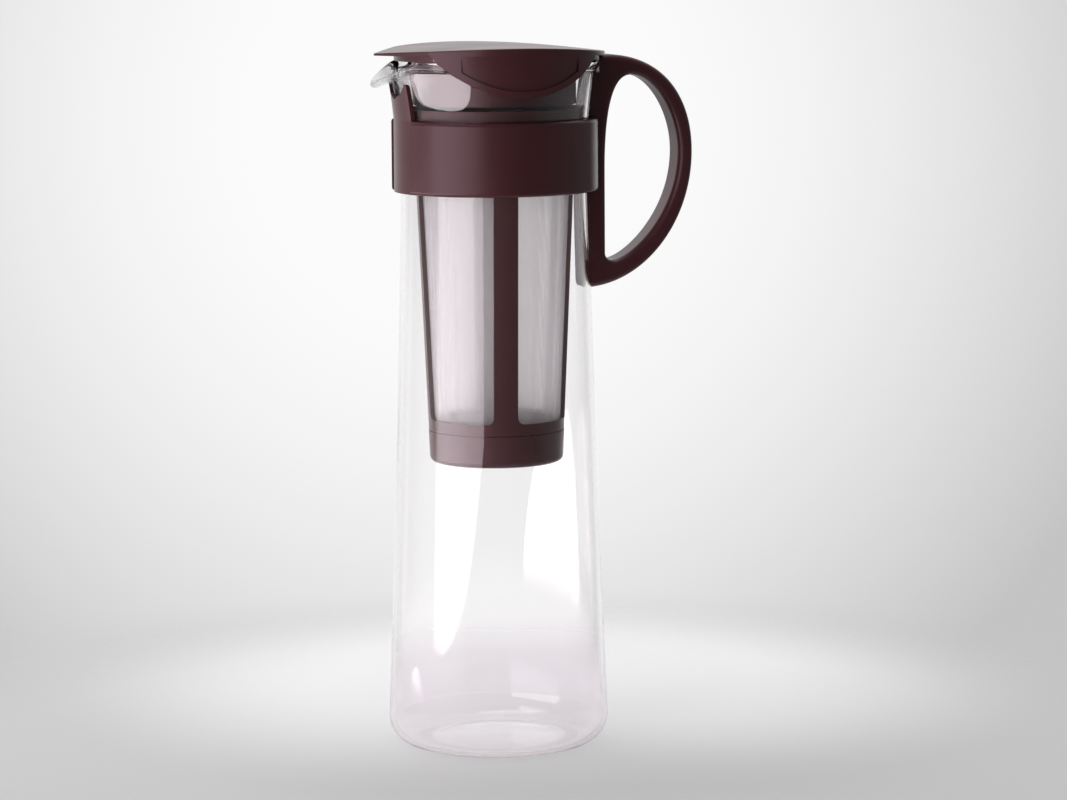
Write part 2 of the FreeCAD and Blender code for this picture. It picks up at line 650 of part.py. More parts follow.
def under_visor(wide):
    """Wedge that is cut from below, so that the visor thins towards its tip."""
    root_x = -LEDGE_R
    root_z = lid_under_z(root_x)
    tip_z = lid_top_z(VISOR_TIP_X) - VISOR_TIP_WALL
    past_x = VISOR_TIP_X - PAST
    low_z = root_z - LID_WALL
    corners = [
        side_point(root_x, root_z), side_point(VISOR_TIP_X, tip_z), side_point(past_x, tip_z),
        side_point(past_x, low_z), side_point(root_x, low_z),
    ]
    wedge = Part.Face(Part.makePolygon(corners + corners[:1])).extrude(FreeCAD.Vector(0, wide, 0))
    wedge.translate(FreeCAD.Vector(0, -wide / 2, 0))
    return wedge


def finger_relief():
    """Ring whose inside curves from the recess's depth out to the grip's face."""
    hollow_r = (RECESS_HEIGHT ** 2 + RECESS_DEPTH ** 2) / (2 * RECESS_DEPTH)
    half = math.asin(RECESS_HEIGHT / hollow_r) / 2
    deepest = at(LID_R - RECESS_DEPTH, GRIP_FOOT_Z)
    middle = deepest + FreeCAD.Vector(hollow_r * (1 - math.cos(half)), 0, hollow_r * math.sin(half))
    runs_out = at(LID_R, RECESS_TOP_Z)
    clear_foot = at(LID_R + PAST, GRIP_FOOT_Z)
    clear_top = at(LID_R + PAST, RECESS_TOP_Z)
    return revolved([
        line(deepest, clear_foot), line(clear_foot, clear_top), line(clear_top, runs_out),
        arc(runs_out, middle, deepest),
    ])


def make_grips(wide):
    """Both side grips, each with a finger recess above its lower edge."""
    grips = ring(LID_R - GRIP_WALL, LID_R, GRIP_FOOT_Z - PAST, LID_CROWN_Z)
    grips = grips.common(smile(GRIP_ARC_R, wide))
    pocket = finger_relief().common(smile(GRIP_ARC_R - RECESS_BORDER, wide))
    pocket = pocket.common(slab(wide, 2 * RECESS_HALF, GRIP_FOOT_Z, LID_CROWN_Z))
    return grips.cut(pocket)


def make_lid():
    wide = 3 * LID_R
    under_arch = arch_block(LID_WALL / 2, wide)
    plate = arch_block(0.0, wide).cut(arch_block(LID_WALL, wide)).common(plate_outline())
    top_edges = [
        e for e in plate.Edges if all(abs(v.Z - lid_top_z(v.X)) < SAME for v in e.Vertexes)
    ]
    plate = plate.makeFillet(LID_EDGE_ROUND, top_edges).cut(under_visor(wide))
    ledge_foot = RIM_Z + LID_REST_GAP
    walls = [
        ring(PLUG_R - PLUG_WALL, PLUG_R, PLUG_FOOT_Z, LID_CROWN_Z),
        ring(LEDGE_R - LEDGE_WALL, LEDGE_R, ledge_foot, LID_CROWN_Z),
        make_grips(wide),
    ]
    hanging = [w.common(under_arch) for w in walls]
    return one_solid(plate.multiFuse(hanging))


# ---- strainer --------------------------------------------------------------------------------------
def basket_radius(z):
    return BASKET_R + BASKET_SLOPE * (z - WINDOW_FOOT_Z)


def quarters(shape, width, z_low, z_high):
    """What is left of a round wall when a cross of slabs of this width is taken out."""
    for i in range(RIB_COUNT // 2):
        bar = turned(slab(width, FAR, z_low - PAST, z_high + PAST), i * 360.0 / RIB_COUNT)
        shape = shape.cut(bar)
    return sorted(shape.Solids, key=lambda s: math.atan2(s.CenterOfMass.y, s.CenterOfMass.x))


def windows():
    wall = cone_ring(WINDOW_FOOT_Z, WINDOW_TOP_Z, basket_radius, -2 * BASKET_WALL, BASKET_WALL)
    cutters = []
    for piece in quarters(wall, RIB_WIDTH, WINDOW_FOOT_Z, WINDOW_TOP_Z):
        corners = [
            e for e in piece.Edges
            if e.Curve.TypeId == "Part::GeomLine" and e.BoundBox.ZLength < SAME
        ]
        cutters.append(piece.makeFillet(WINDOW_ROUND, corners))
    return cutters


def mesh_sheet(gap):
    """The four mesh panels, or with a gap the rebates that they lie in."""
    low = WINDOW_FOOT_Z - MESH_BORDER - gap
    high = WINDOW_TOP_Z + MESH_BORDER + gap
    inner = -BASKET_WALL - (PAST if gap else 0.0)
    wall = cone_ring(low, high, basket_radius, inner, -BASKET_WALL + MESH_THICKNESS + gap)
    return quarters(wall, RIB_WIDTH - 2 * MESH_BORDER - 2 * gap, low, high)


def pouring_slots(r_in):
    slots = []
    for i in range(SLOT_COUNT):
        middle = (i + 0.5) * 360.0 / SLOT_COUNT
        slots.append(ring(r_in, r_in + SLOT_WIDTH, FLANGE_Z - PAST, FLANGE_Z + FLANGE_HEIGHT + PAST,
                          middle - SLOT_SPAN_DEG / 2, SLOT_SPAN_DEG))
    return slots


def flange_radius(z):
    return flare_radius(z, -GLASS_WALL) - SEAT_GAP


SPIGOT_R = CAP_R - CAP_DRAFT - CAP_WALL - SPIGOT_GAP
SPIGOT_FOOT_Z = RING_FOOT_Z - SPIGOT_LENGTH
LUG_Z = SPIGOT_FOOT_Z + LUG_FOOT


def lugs():
    made = []
    for i in range(LUG_COUNT):
        middle = i * 360.0 / LUG_COUNT
        made.append(ring(SPIGOT_R - SPIGOT_WALL / 2, SPIGOT_R + LUG_DEPTH, LUG_Z, LUG_Z + LUG_HEIGHT,
                         middle - LUG_SPAN_DEG / 2, LUG_SPAN_DEG))
    return made


def make_frame():
    tall = FLANGE_Z + FLANGE_WALL
    top_z = FLANGE_Z + FLANGE_HEIGHT
    rim_foot, rim_top = flange_radius(FLANGE_Z), flange_radius(FLANGE_Z) + SEAT_GAP
    rim = revolved(outline_edges([
        (rim_foot - FLANGE_WALL, FLANGE_Z), (rim_foot, FLANGE_Z), (rim_top, top_z),
        (rim_top - FLANGE_WALL, top_z),
    ]))
    floor = ring(basket_radius(tall) - BASKET_WALL, rim_foot - FLANGE_WALL / 2, FLANGE_Z, tall)
    slot_r = (basket_radius(tall) + rim_foot - FLANGE_WALL - SLOT_WIDTH) / 2
    basket = cone_ring(RING_FOOT_Z, tall, basket_radius, -BASKET_WALL, 0.0)
    spigot = revolved(outline_edges([
        (SPIGOT_R - SPIGOT_WALL, SPIGOT_FOOT_Z), (SPIGOT_R, SPIGOT_FOOT_Z),
        (SPIGOT_R, RING_FOOT_Z + PAST), (basket_radius(RING_FOOT_Z) - BASKET_WALL / 2, RING_FOOT_Z + PAST),
        (basket_radius(RING_FOOT_Z) - BASKET_WALL, WINDOW_FOOT_Z - 2 * MESH_BORDER),
        (SPIGOT_R - SPIGOT_WALL, RING_FOOT_Z),
    ]))
    frame = basket.multiFuse([rim, floor, spigot] + lugs())
    frame = frame.cut(windows()).cut(mesh_sheet(MESH_GAP)).cut(pouring_slots(slot_r))
    return turned(one_solid(frame), BASKET_TURN_DEG)


def make_mesh_panels():
    return [turned(s, BASKET_TURN_DEG) for s in mesh_sheet(0.0)]


def cap_shell():
    z0, z1 = CAP_FOOT_Z, RING_FOOT_Z - CAP_GAP
    r0, r1 = CAP_R - CAP_DRAFT, CAP_R
    bore = SPIGOT_R + SPIGOT_GAP
    inside = z0 + CAP_RECESS + CAP_FLOOR
    c = CAP_ROUND
    lift = c * (1 - math.sqrt(0.5))
    edges = [
        line(at(0, z0 + CAP_RECESS), at(CAP_RECESS_R, z0 + CAP_RECESS)),
        line(at(CAP_RECESS_R, z0 + CAP_RECESS), at(CAP_RECESS_R + CAP_RECESS, z0)),
        line(at(CAP_RECESS_R + CAP_RECESS, z0), at(r0 - c, z0)),
        arc(at(r0 - c, z0), at(r0 - lift, z0 + lift), at(r0, z0 + c)),
        line(at(r0, z0 + c), at(r1, z1)),
        line(at(r1, z1), at(bore, z1)),
        line(at(bore, z1), at(bore, inside)),
        line(at(bore, inside), at(0, inside)),
        line(at(0, inside), at(0, z0 + CAP_RECESS)),
    ]
    return revolved(edges)


def bayonet_channels():
    """Entry slots from the cap's mouth, each with a run along which its lug locks."""
    reach = SPIGOT_R + LUG_DEPTH + SPIGOT_GAP
    low, high = LUG_Z - LUG_GAP, LUG_Z + LUG_HEIGHT + LUG_GAP
    made = []
    for i in range(LUG_COUNT):
        first = i * 360.0 / LUG_COUNT - TWIST_DEG - LUG_SPAN_DEG / 2 - LUG_GAP_DEG
        entry = LUG_SPAN_DEG + 2 * LUG_GAP_DEG
        made.append(ring(SPIGOT_R, reach, low, RING_FOOT_Z + PAST, first, entry))
        made.append(ring(SPIGOT_R, reach, low, high, first, entry + TWIST_DEG))
    return made


def make_cap():
    high = RING_FOOT_Z - CAP_GAP - MARK_DROP
    mark = Part.makeBox(CAP_WALL / 2 + MARK_PROUD, MARK_WIDTH, MARK_LENGTH,
                        FreeCAD.Vector(CAP_R - CAP_WALL / 2, -MARK_WIDTH / 2, high - MARK_LENGTH))
    mark = turned(mark, MARK_AT_DEG - BASKET_TURN_DEG)
    cap = cap_shell().fuse(mark).cut(bayonet_channels())
    return turned(one_solid(cap), BASKET_TURN_DEG)


# ---- all pieces ------------------------------------------------------------------------------------
def main():
    pieces = {
        "glass_bottle": make_bottle(),
        "neck_band": make_band(),
        "handle": make_handle(),
        "lid": make_lid(),
        "strainer_frame": make_frame(),
        "strainer_cap": make_cap(),
    }
    for i, panel in enumerate(make_mesh_panels()):
        pieces["mesh_panel_%d" % (i + 1)] = panel
    os.makedirs("parts", exist_ok=True)
    for name, shape in pieces.items():
        if not shape.isValid() or shape.Volume <= 0:
            raise ValueError("%s is not a sound solid" % name)
        shape.exportStep("parts/%s.step" % name)
        box = shape.BoundBox
        print("%-16s volume %9.1f  x %7.2f %7.2f  y %7.2f %7.2f  z %7.2f %7.2f  faces %d" % (
            name, shape.Volume, box.XMin, box.XMax, box.YMin, box.YMax, box.ZMin, box.ZMax,
            len(shape.Faces)))


main()
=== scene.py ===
import math

import bpy
import numpy as np
from mathutils import Matrix, Vector

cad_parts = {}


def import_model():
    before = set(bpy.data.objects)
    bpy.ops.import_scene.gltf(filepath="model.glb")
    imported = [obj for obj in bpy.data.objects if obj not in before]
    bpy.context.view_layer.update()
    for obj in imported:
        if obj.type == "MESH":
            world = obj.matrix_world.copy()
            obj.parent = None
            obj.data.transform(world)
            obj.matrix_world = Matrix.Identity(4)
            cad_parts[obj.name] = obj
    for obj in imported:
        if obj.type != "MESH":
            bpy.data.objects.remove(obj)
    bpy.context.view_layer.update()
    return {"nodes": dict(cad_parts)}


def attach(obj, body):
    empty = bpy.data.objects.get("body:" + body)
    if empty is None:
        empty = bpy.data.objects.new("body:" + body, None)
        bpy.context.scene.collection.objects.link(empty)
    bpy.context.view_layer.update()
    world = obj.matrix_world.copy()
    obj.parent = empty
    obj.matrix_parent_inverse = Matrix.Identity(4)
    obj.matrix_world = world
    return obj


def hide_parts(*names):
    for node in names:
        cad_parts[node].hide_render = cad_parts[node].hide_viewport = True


# Cold brew coffee maker, in metres, in the frame's own axes: +Z up, the spout points along -X and the
# handle along +X. The glass bottle is drawn here in fine steps over its solid; every other piece is the
# frame's own, with its material added.

# ---- glass bottle: radii, heights and rounds of its outside ----------------------------------------
GLASS_WALL = 0.0022
BODY_R = 0.0468
RIM_Z = 0.2906
HEEL_ROUND = 0.012
FOOT_WIDTH = 0.0058
PUNT_R = BODY_R - HEEL_ROUND - FOOT_WIDTH
PUNT_RISE = 0.0014
NECK_R = BODY_R - 0.00735
NECK_Z = RIM_Z - 0.0446
NECK_TAPER = math.radians(1.1)
MOUTH_R = BODY_R - 0.0025
BEAD_R = 0.0019
MOUTH_START = math.radians(4.0)  # place on the flare where the wall starts to lean into the spout

# The spout's wall in its middle, each place as how far out from the centre of the rim's bead and how far
# below it. Away from the middle the wall comes back to the plain mouth, near the neck sooner than at the
# lip.
SPOUT_HALF = math.radians(27.0)
SPOUT_LINE = [
    (-0.00305, 0.0215), (-0.0023, 0.0146), (-0.0015, 0.0094), (0.0007, 0.0068), (0.0036, 0.0058),
    (0.0067, 0.0059), (0.0093, 0.0073),
]
SPOUT_NARROWING = 2.0
SPOUT_BEAD_R = 0.0016

# Steps of the glass mesh, round the bottle and along each part of its outline.
GLASS_TURNS = 288
ARC_STEPS = 14
BODY_STEPS = 26
FLARE_STEPS = 18
MOUTH_STEPS = 26
BEAD_STEPS = 14

# ---- camera: from the front, turned towards the spout's side ---------------------------------------
CAMERA_AZIMUTH = math.radians(-16.0)
CAMERA_DISTANCE = 1.583
CAMERA_HEIGHT = 0.356
CAMERA_TURN_RIGHT = math.radians(0.57)
CAMERA_PITCH_DOWN = math.radians(7.53)
CAMERA_ROLL = math.radians(-0.35)
SENSOR_WIDTH = 36.0
LENS = 127.03

# ---- lamps: sizes and places in metres, radiance in W/(m2 sr) --------------------------------------
LAMP_COLOUR = (1.0, 0.92, 0.965)
SOFTBOX_SIZE = (5.4, 2.28)
SOFTBOX_PLACE = (-3.2, -2.7, 0.76)
SOFTBOX_RADIANCE = 2.4
LOW_LAMP_SIZE = (6.0, 1.2)
LOW_LAMP_PLACE = (-3.2, -0.3, -1.11)
LOW_LAMP_LEAN = math.radians(4.5)
LOW_LAMP_RADIANCE = 5.5
TOP_LAMP_SIZE = (1.1, 1.1)
TOP_LAMP_PLACE = (-0.2, 0.1, 1.6)
TOP_LAMP_RADIANCE = 3.2

# ---- backdrop and room -----------------------------------------------------------------------------
# A level is the strength of the background. A range is of a ray's direction, as its dot product with
# ahead, right or up, and for the glow as its distance from the brightest direction.
GLOW_RIGHT = -0.0206  # brightest place of the backdrop, from the middle of the view
GLOW_UP = 0.0737
GLOW_RANGE = (0.038, 0.3365)
GLOW_LEVEL = 0.9653
GLOW_END_LEVEL = 0.178
GLOW_LEAST_LEVEL = 0.55
ROOM_LEVEL = 0.33
ROOM_FRONT_LEVEL = 0.14
ROOM_FRONT_RANGE = (-0.85, -0.1)
ROOM_RIGHT_SHARE = 0.7  # the room is dimmer on the handle's side
ROOM_RIGHT_RANGE = (0.0, 0.7)
BACKDROP_LEVEL = 1.05
BACKDROP_LIFT = math.radians(30.0)
BACKDROP_RANGE = (0.5, 0.8)
PALE_WALL_LEVEL = 0.6  # what the wall beyond the softbox adds in reflections
PALE_WALL_SIDE = (-0.8, -0.45)
PALE_WALL_FOOT = (-0.22, -0.14)
PALE_WALL_TOP = (-0.09, -0.05)
FAR_END_RANGE = (0.7, 0.9)

# ---- table -----------------------------------------------------------------------------------------
TABLE_R = 0.65
TABLE_TURNS = 96
TABLE_COLOUR = (0.628, 0.648, 0.638, 1.0)
TABLE_THROUGH_GLASS = (0.92, 0.905, 0.93, 1.0)
TABLE_PAINTED_LIGHT_SLOPE = (-0.052, 0.19, 0.0)  # how fast painted light makes the table lighter along X and Y, per metre
TABLE_FADE = (0.2, 0.366)  # where the table fades into the backdrop, from its middle
TABLE_FADE_THROUGH_GLASS = (0.16, 0.3)
# A pool of light painted on the table: its colour, middle and reach.
PAINTED_POOL_COLOUR = (0.922, 0.951, 0.937, 1.0)
POOL_MIDDLE = (0.057, 0.12, 0.0)
POOL_RANGE = (0.092, 0.244)
DUST_COLOUR = (0.5, 0.5, 0.5, 1.0)
DUST_SHARE = 0.06

# ---- materials -------------------------------------------------------------------------------------
GLASS_IOR = 1.474
GLASS_FACE_TINT = (0.992, 0.988, 0.99, 1.0)
GLASS_EDGE_TINT = (0.925, 0.905, 0.917, 1.0)
GLASS_CLEAR_TINT = (0.975, 0.97, 0.973, 1.0)
GLASS_EDGE_BLEND = 0.35
SPOUT_TIP = (-0.055, 0.0, 0.284)  # a little beyond the lip
SPOUT_CLEAR_RANGE = (0.012, 0.026)
SPOUT_CLEARNESS = 0.75  # part of the light that goes straight through the thin lip

PLASTIC_IOR = 1.49
PLASTIC_SHINE = 0.43
PLASTIC_SHINE_TINT = (1.0, 0.87, 0.96, 1.0)
PLASTIC_DEEP = (0.055, 0.0147, 0.0172, 1.0)
PLASTIC_LIGHT = (0.066, 0.0187, 0.0213, 1.0)
PLASTIC_ROUGHNESS = (0.29, 0.36)

MESH_R = 0.0305  # of the strainer's wall, half way up
WEAVE_PITCH = 0.0004
THREAD_IOR = 1.35
THREAD_ROUGHNESS = 0.6
THREAD_CLEARNESS = 0.8
THREAD_SHADED = (0.86, 0.83, 0.845, 1.0)
THREAD_BRIGHT = (0.93, 0.90, 0.915, 1.0)


# ---- outline of the glass --------------------------------------------------------------------------
def spread(first, last, count):
    """Evenly spaced values from first to last."""
    return [first + (last - first) * i / (count - 1) for i in range(count)]


BEAD_CENTRE = (MOUTH_R - BEAD_R, RIM_Z - BEAD_R)
MID_RUN = BEAD_CENTRE[0] - (NECK_R - GLASS_WALL / 2)
MID_RISE = BEAD_CENTRE[1] - NECK_Z
FLARE_R = (MID_RUN ** 2 + MID_RISE ** 2) / (2 * MID_RUN) - GLASS_WALL / 2
HEEL_CENTRE = (BODY_R - HEEL_ROUND, HEEL_ROUND)


def flare_point(angle, offset=0.0):
    """Point on the flare, moved square to the wall; the angle is positive above the neck."""
    reach = FLARE_R - offset
    return (NECK_R + FLARE_R - reach * math.cos(angle), NECK_Z + reach * math.sin(angle))


BODY_TOP = flare_point(-NECK_TAPER)
BODY_RUN = BODY_TOP[0] - HEEL_CENTRE[0]
BODY_RISE = BODY_TOP[1] - HEEL_CENTRE[1]
BODY_REACH = BODY_RUN * math.cos(NECK_TAPER) + BODY_RISE * math.sin(NECK_TAPER)
BODY_ARC_R = (BODY_RUN ** 2 + BODY_RISE ** 2 - HEEL_ROUND ** 2) / (2 * (HEEL_ROUND - BODY_REACH))
BODY_CENTRE = (
    BODY_TOP[0] + BODY_ARC_R * math.cos(NECK_TAPER),
    BODY_TOP[1] + BODY_ARC_R * math.sin(NECK_TAPER),
)
BODY_FOOT = math.atan((BODY_CENTRE[1] - HEEL_CENTRE[1]) / (BODY_CENTRE[0] - HEEL_CENTRE[0]))


def body_point(angle, offset):
    """Point on the long arc of the body, moved square to the wall."""
    reach = BODY_ARC_R - offset
    return (BODY_CENTRE[0] - reach * math.cos(angle), BODY_CENTRE[1] - reach * math.sin(angle))


def heel_point(angle, offset):
    """Point on the round between foot and body."""
    reach = HEEL_ROUND + offset
    return (HEEL_CENTRE[0] + reach * math.cos(angle), HEEL_CENTRE[1] + reach * math.sin(angle))


def dome_points(level):
    """Base or floor from the axis out to where the flat foot ends."""
    dome_r = (PUNT_R ** 2 + PUNT_RISE ** 2) / (2 * PUNT_RISE)
    return [
        (r, level + PUNT_RISE - dome_r + math.sqrt(dome_r ** 2 - r ** 2))
        for r in spread(0.0, PUNT_R, ARC_STEPS)
    ]


def wall_points(offset):
    """Foot, heel, body and flare, from the axis up to where the mouth's sections start."""
    foot = dome_points(-offset)
    heel = [heel_point(a, offset) for a in spread(-math.pi / 2, BODY_FOOT, ARC_STEPS)]
    body = [body_point(a, offset) for a in spread(BODY_FOOT, NECK_TAPER, BODY_STEPS)]
    flare = [flare_point(a, offset) for a in spread(-NECK_TAPER, MOUTH_START, FLARE_STEPS)]
    return foot + heel + body[1:] + flare[1:-1]


def mouth_frames(share):
    """Middle line of the mouth's wall, with the direction along it and the one out of it.

    The share is 0 where the mouth is plain and round, and 1 in the middle of the spout.
    """
    top = math.asin(MID_RISE / (FLARE_R + GLASS_WALL / 2))
    last = len(SPOUT_LINE)
    spout = [flare_point(MOUTH_START, -GLASS_WALL / 2)]
    spout += [(BEAD_CENTRE[0] + reach, BEAD_CENTRE[1] - drop) for reach, drop in SPOUT_LINE]
    steps = [math.dist(a, b) for a, b in zip(spout, spout[1:])]
    points = []
    for i, pulled in enumerate(spout):
        run = sum(steps[:i]) / sum(steps)
        plain = flare_point(MOUTH_START + (top - MOUTH_START) * run, -GLASS_WALL / 2)
        pull = share ** (1 + SPOUT_NARROWING * (1 - run))
        points.append(np.array(plain) * (1 - pull) + np.array(pulled) * pull)
    frames = []
    for i, point in enumerate(points):
        along = points[min(i + 1, last)] - points[max(i - 1, 0)]
        if i == 0:
            along = np.array([math.sin(MOUTH_START), math.cos(MOUTH_START)])
        along = along / np.linalg.norm(along)
        frames.append((point, along, np.array([along[1], -along[0]])))
    return frames


def smooth_line(points, count):
    """Evenly spaced places on a smooth cubic curve through the points.

    Its slope at each end is that of the cubic through the four points nearest that end.
    """
    p = np.array(points)
    t = np.concatenate([[0.0], np.cumsum(np.linalg.norm(np.diff(p, axis=0), axis=1))])
    n = len(p)
    h = np.diff(t)
    system = np.zeros((n, n))
    right = np.zeros((n, 2))
    for end, near in ((0, slice(0, 4)), (n - 1, slice(n - 4, n))):
        system[end, end] = 1.0
        for axis in range(2):
            cubic = np.polyfit(t[near] - t[end], p[near, axis], 3)
            right[end, axis] = cubic[2]
    for i in range(1, n - 1):
        system[i, i - 1:i + 2] = [h[i], 2 * (h[i - 1] + h[i]), h[i - 1]]
        before = (p[i] - p[i - 1]) / h[i - 1]
        after = (p[i + 1] - p[i]) / h[i]
        right[i] = 3 * (h[i] * before + h[i - 1] * after)
    slope = np.linalg.solve(system, right)
    places = []
    for run in spread(0.0, t[-1], count):
        k = min(int(np.searchsorted(t, run, side="right")) - 1, n - 2)
        u = (run - t[k]) / h[k]
        places.append(
            p[k] * (2 * u ** 3 - 3 * u ** 2 + 1) + p[k + 1] * (3 * u ** 2 - 2 * u ** 3)
            + slope[k] * h[k] * (u ** 3 - 2 * u ** 2 + u) + slope[k + 1] * h[k] * (u ** 3 - u ** 2)
        )
    return places


def spout_share(angle_from_spout):
    """1 in the middle of the spout, falling softly to 0 where the mouth is plain."""
    if abs(angle_from_spout) >= SPOUT_HALF:
        return 0.0
    return math.cos(math.pi / 2 * angle_from_spout / SPOUT_HALF) ** 2


def mouth_points(share):
    """Outside of the mouth, over the bead and down its inside."""
    frames = mouth_frames(share)
    half = GLASS_WALL / 2
    bead = BEAD_R + (SPOUT_BEAD_R - BEAD_R) * share
    back_off = math.sqrt(bead ** 2 - half ** 2)
    outer = [point + half * out for point, _, out in frames]
    inner = [point - half * out for point, _, out in frames]
    centre, along, out = frames[-1]
    outer[-1] = outer[-1] - back_off * along
    inner[-1] = inner[-1] - back_off * along
    turn = math.pi - math.atan(half / back_off)
    rim = [
        centre + bead * (math.cos(a) * along + math.sin(a) * out)
        for a in spread(turn, -turn, BEAD_STEPS)
    ]
    return smooth_line(outer, MOUTH_STEPS) + rim[1:-1] + smooth_line(inner[::-1], MOUTH_STEPS)


def glass_outline(angle_from_spout):
    """Whole outline of the wall, from the middle of the base round to the middle of the floor."""
    outside = wall_points(0.0)
    inside = wall_points(-GLASS_WALL)
    return outside + mouth_points(spout_share(angle_from_spout)) + inside[::-1]


def make_bottle():
    """The outline taken round the axis, with the spout drawn out on the side of -X."""
    places = []
    for i in range(GLASS_TURNS):
        angle = 2 * math.pi * i / GLASS_TURNS
        for r, z in glass_outline(angle - math.pi)[1:-1]:
            places.append((r * math.cos(angle), r * math.sin(angle), z))
    row = len(places) // GLASS_TURNS
    faces = []
    for i in range(GLASS_TURNS):
        a, b = i * row, ((i + 1) % GLASS_TURNS) * row
        faces += [(a + k, b + k, b + k + 1, a + k + 1) for k in range(row - 1)]
    below, above = len(places), len(places) + 1
    places += [(0.0, 0.0, PUNT_RISE), (0.0, 0.0, PUNT_RISE + GLASS_WALL)]
    for i in range(GLASS_TURNS):
        a, b = i * row, ((i + 1) % GLASS_TURNS) * row
        faces.append((below, b, a))
        faces.append((above, a + row - 1, b + row - 1))
    mesh = bpy.data.meshes.new("bottle_glass")
    mesh.from_pydata(places, [], faces)
    mesh.shade_smooth()
    bottle = bpy.data.objects.new("bottle_glass", mesh)
    bpy.context.scene.collection.objects.link(bottle)
    return bottle


# ---- small node helpers ----------------------------------------------------------------------------
def node(tree, kind, settings=None, **sockets):
    """A new node; settings are its properties, and sockets its inputs by name or as i0, i1, ..."""
    made = tree.nodes.new(kind)
    for key, value in (settings or {}).items():
        setattr(made, key, value)
    for key, value in sockets.items():
        name = int(key[1:]) if key[0] == "i" and key[1:].isdigit() else key.replace("_", " ")
        if isinstance(value, bpy.types.NodeSocket):
            tree.links.new(value, made.inputs[name])
        else:
            made.inputs[name].default_value = value
    return made


def math_node(tree, operation, a, b=0.0):
    return node(tree, "ShaderNodeMath", {"operation": operation}, i0=a, i1=b).outputs[0]


def measured(tree, operation, a, b=(0.0, 0.0, 0.0)):
    """Number worked out from vectors by DISTANCE, LENGTH or DOT_PRODUCT."""
    made = node(tree, "ShaderNodeVectorMath", {"operation": operation}, i0=a, i1=tuple(b))
    return made.outputs["Value"]


def drawn_out(tree, place, share):
    """Place with this share of its height, which draws a pattern out along Z."""
    made = node(tree, "ShaderNodeVectorMath", {"operation": "MULTIPLY"}, i0=place, i1=(1.0, 1.0, share))
    return made.outputs["Vector"]


def ramp(tree, value, low, high, to_low=0.0, to_high=1.0):
    """Smooth step of a value from one range into another."""
    made = node(
        tree, "ShaderNodeMapRange", {"interpolation_type": "SMOOTHSTEP"},
        Value=value, From_Min=low, From_Max=high, To_Min=to_low, To_Max=to_high)
    return made.outputs["Result"]


def mixed(tree, share, first, second):
    """Colour mix; share is the part of the second."""
    made = node(tree, "ShaderNodeMix", {"data_type": "RGBA"}, i0=share, i6=first, i7=second)
    return made.outputs[2]


def mixed_value(tree, share, first, second):
    """Mix of two numbers; share is the part of the second."""
    made = node(tree, "ShaderNodeMix", {"data_type": "FLOAT"}, i0=share, i2=first, i3=second)
    return made.outputs[0]


def mixed_shader(tree, share, first, second):
    """Mix of two shaders; share is the part of the second."""
    return node(tree, "ShaderNodeMixShader", None, i0=share, i1=first, i2=second).outputs[0]


def noise(tree, place, scale, detail=2.0, roughness=0.5):
    made = node(
        tree, "ShaderNodeTexNoise", None, Vector=place, Scale=scale, Detail=detail, Roughness=roughness)
    return made.outputs["Fac"]


def bump(tree, strength, distance, height, **sockets):
    made = node(
        tree, "ShaderNodeBump", None, Strength=strength, Distance=distance, Height=height, **sockets)
    return made.outputs["Normal"]


def object_place(tree):
    return node(tree, "ShaderNodeTexCoord").outputs["Object"]


def new_material(name):
    """Empty material, its node tree and its output node."""
    material = bpy.data.materials.new(name)
    material.use_nodes = True
    tree = material.node_tree
    tree.nodes.clear()
    return material, tree, tree.nodes.new("ShaderNodeOutputMaterial")


def new_group(name, outputs):
    """Empty node group with these named outputs, as (name, socket kind) pairs."""
    tree = bpy.data.node_groups.new(name, "ShaderNodeTree")
    for label, kind in outputs:
        tree.interface.new_socket(label, in_out="OUTPUT", socket_type=kind)
    return tree, tree.nodes.new("NodeGroupOutput")


def put_out(tree, end, **values):
    """Join values to the outputs of a group."""
    for name, value in values.items():
        tree.links.new(value, end.inputs[name])


# ---- glass -----------------------------------------------------------------------------------------
def glass_waves():
    """Slow waves of blown glass, and a faint film of wiping marks."""
    tree, end = new_group("glass_waves", [("Normal", "NodeSocketVector"), ("Film", "NodeSocketFloat")])
    place = object_place(tree)
    waves = noise(tree, drawn_out(tree, place, 0.35), 30.0, 1.0)
    film = ramp(tree, noise(tree, place, 60.0, 5.0, 0.65), 0.45, 0.8, 0.0, 0.03)
    put_out(tree, end, Normal=bump(tree, 0.25, 0.0005, waves), Film=film)
    return tree


def clear_glass():
    """Heat-resistant glass. Lamps and soft light pass straight through it to what is behind."""
    material, tree, output = new_material("clear_glass")
    waves = node(tree, "ShaderNodeGroup", {"node_tree": glass_waves()})
    slant = node(tree, "ShaderNodeLayerWeight", None, Blend=GLASS_EDGE_BLEND).outputs["Facing"]
    glass = node(
        tree, "ShaderNodeBsdfPrincipled", None, IOR=GLASS_IOR, Transmission_Weight=1.0,
        Base_Color=mixed(tree, slant, GLASS_FACE_TINT, GLASS_EDGE_TINT),
        Roughness=waves.outputs["Film"], Normal=waves.outputs["Normal"]).outputs[0]
    clear = node(tree, "ShaderNodeBsdfTransparent", None, Color=GLASS_CLEAR_TINT).outputs[0]
    from_tip = measured(tree, "DISTANCE", object_place(tree), SPOUT_TIP)
    thin_lip = ramp(tree, from_tip, *SPOUT_CLEAR_RANGE, SPOUT_CLEARNESS, 0.0)
    rays = node(tree, "ShaderNodeLightPath")
    surface = glass
    for share in (thin_lip, rays.outputs["Is Shadow Ray"], rays.outputs["Is Diffuse Ray"]):
        surface = mixed_shader(tree, share, surface, clear)
    tree.links.new(surface, output.inputs["Surface"])
    return material


